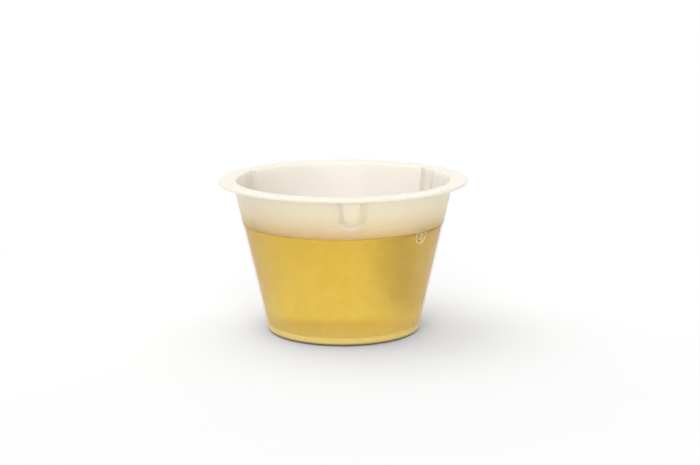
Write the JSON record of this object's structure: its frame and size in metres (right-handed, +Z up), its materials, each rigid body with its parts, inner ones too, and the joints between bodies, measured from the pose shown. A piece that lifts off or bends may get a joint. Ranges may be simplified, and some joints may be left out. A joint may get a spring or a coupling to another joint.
{
  "type": "specimen container",
  "caption": "Shallow tapered laboratory sample cup with a wide flat rim and nest grooves, moulded in one piece of translucent plastic, holding an amber liquid specimen.",
  "frame": {"origin": "centre of the foot, on the surface that the cup stands on", "axes": "+Z up along the cup's axis; the first nest groove faces -Y"},
  "size_m": [0.0624, 0.0624, 0.0385],
  "materials": {
    "natural_polypropylene": "natural polypropylene, injection moulded, thin and translucent, satin sheen",
    "specimen_liquid": "clear golden-yellow liquid, level and still"
  },
  "bodies": {
    "root": {"cup": "natural_polypropylene", "specimen_liquid": "specimen_liquid"}
  },
  "joints": []
}
